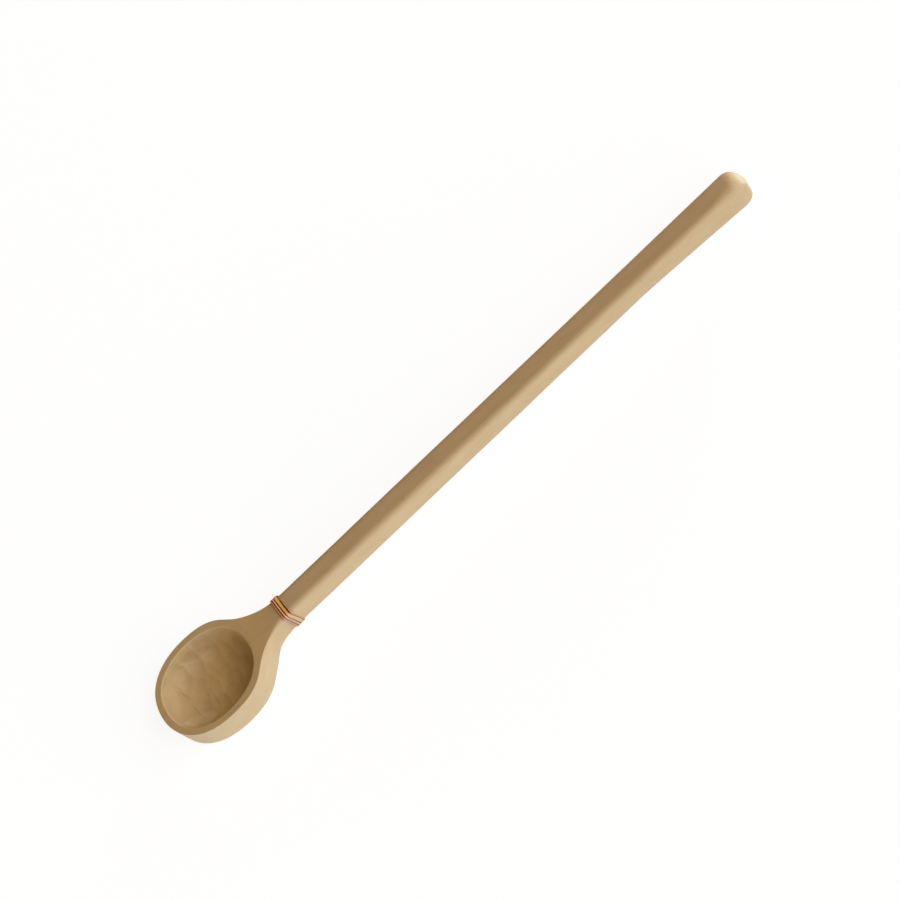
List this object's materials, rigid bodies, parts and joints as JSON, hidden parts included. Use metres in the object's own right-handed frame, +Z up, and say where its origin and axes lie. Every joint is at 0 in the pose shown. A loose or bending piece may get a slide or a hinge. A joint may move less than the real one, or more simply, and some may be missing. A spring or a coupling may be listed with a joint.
{
  "type": "sauna ladle",
  "caption": "Long-handled wooden ladle with a shallow oval bowl, a waisted neck bound with a leather lace and a straight handle, for throwing water on sauna stones.",
  "frame": {"origin": "on the flat base, under the centre of the bowl", "axes": "+X along the handle from the bowl to the grip end, +Y to the left when looking along +X, +Z up out of the bowl"},
  "size_m": [0.5988, 0.0776, 0.0305],
  "materials": {
    "wood": "sanded, unvarnished, matte",
    "leather": "waxed, matte"
  },
  "bodies": {
    "root": {"ladle_body": "wood", "neck_lace": "leather"}
  },
  "joints": []
}
